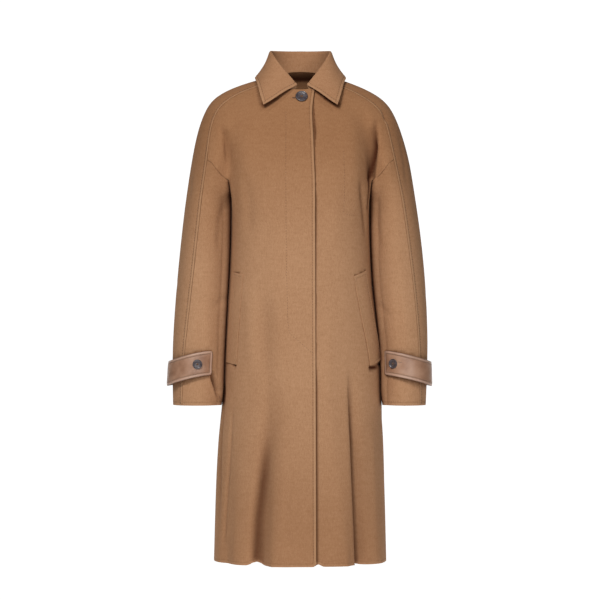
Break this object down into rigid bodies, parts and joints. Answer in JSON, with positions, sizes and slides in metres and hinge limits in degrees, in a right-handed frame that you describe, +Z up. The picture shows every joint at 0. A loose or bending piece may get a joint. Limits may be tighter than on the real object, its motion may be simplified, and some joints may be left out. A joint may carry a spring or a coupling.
{
  "type": "wool overcoat",
  "caption": "Knee-length wool overcoat with raglan sleeves, hidden front fastening, slant welt pockets and leather cuff straps, hollow as worn.",
  "frame": {"origin": "middle of the neck opening, level with the tops of the shoulders, where the wearer's neck and shoulders carry the coat", "axes": "+Z up along the coat's length, the front faces -Y, +X is the wearer's left"},
  "size_m": [0.5579, 0.3385, 1.0869],
  "materials": {
    "wool": "camel wool with a short brushed nap",
    "strap_leather": "tan leather, soft sheen, edge stitched",
    "horn": "dark grey-brown horn, satin"
  },
  "bodies": {
    "root": {"front_right": "wool", "front_left": "wool", "back": "wool", "sleeve_upper_right": "wool", "sleeve_upper_left": "wool", "sleeve_under_right": "wool", "sleeve_under_left": "wool", "collar": "wool", "pocket_welt_right": "wool", "pocket_welt_left": "wool", "cuff_strap_right": "strap_leather", "cuff_strap_left": "strap_leather", "button_neck": "horn", "button_cuff_right": "horn", "button_cuff_left": "horn"}
  },
  "joints": []
}
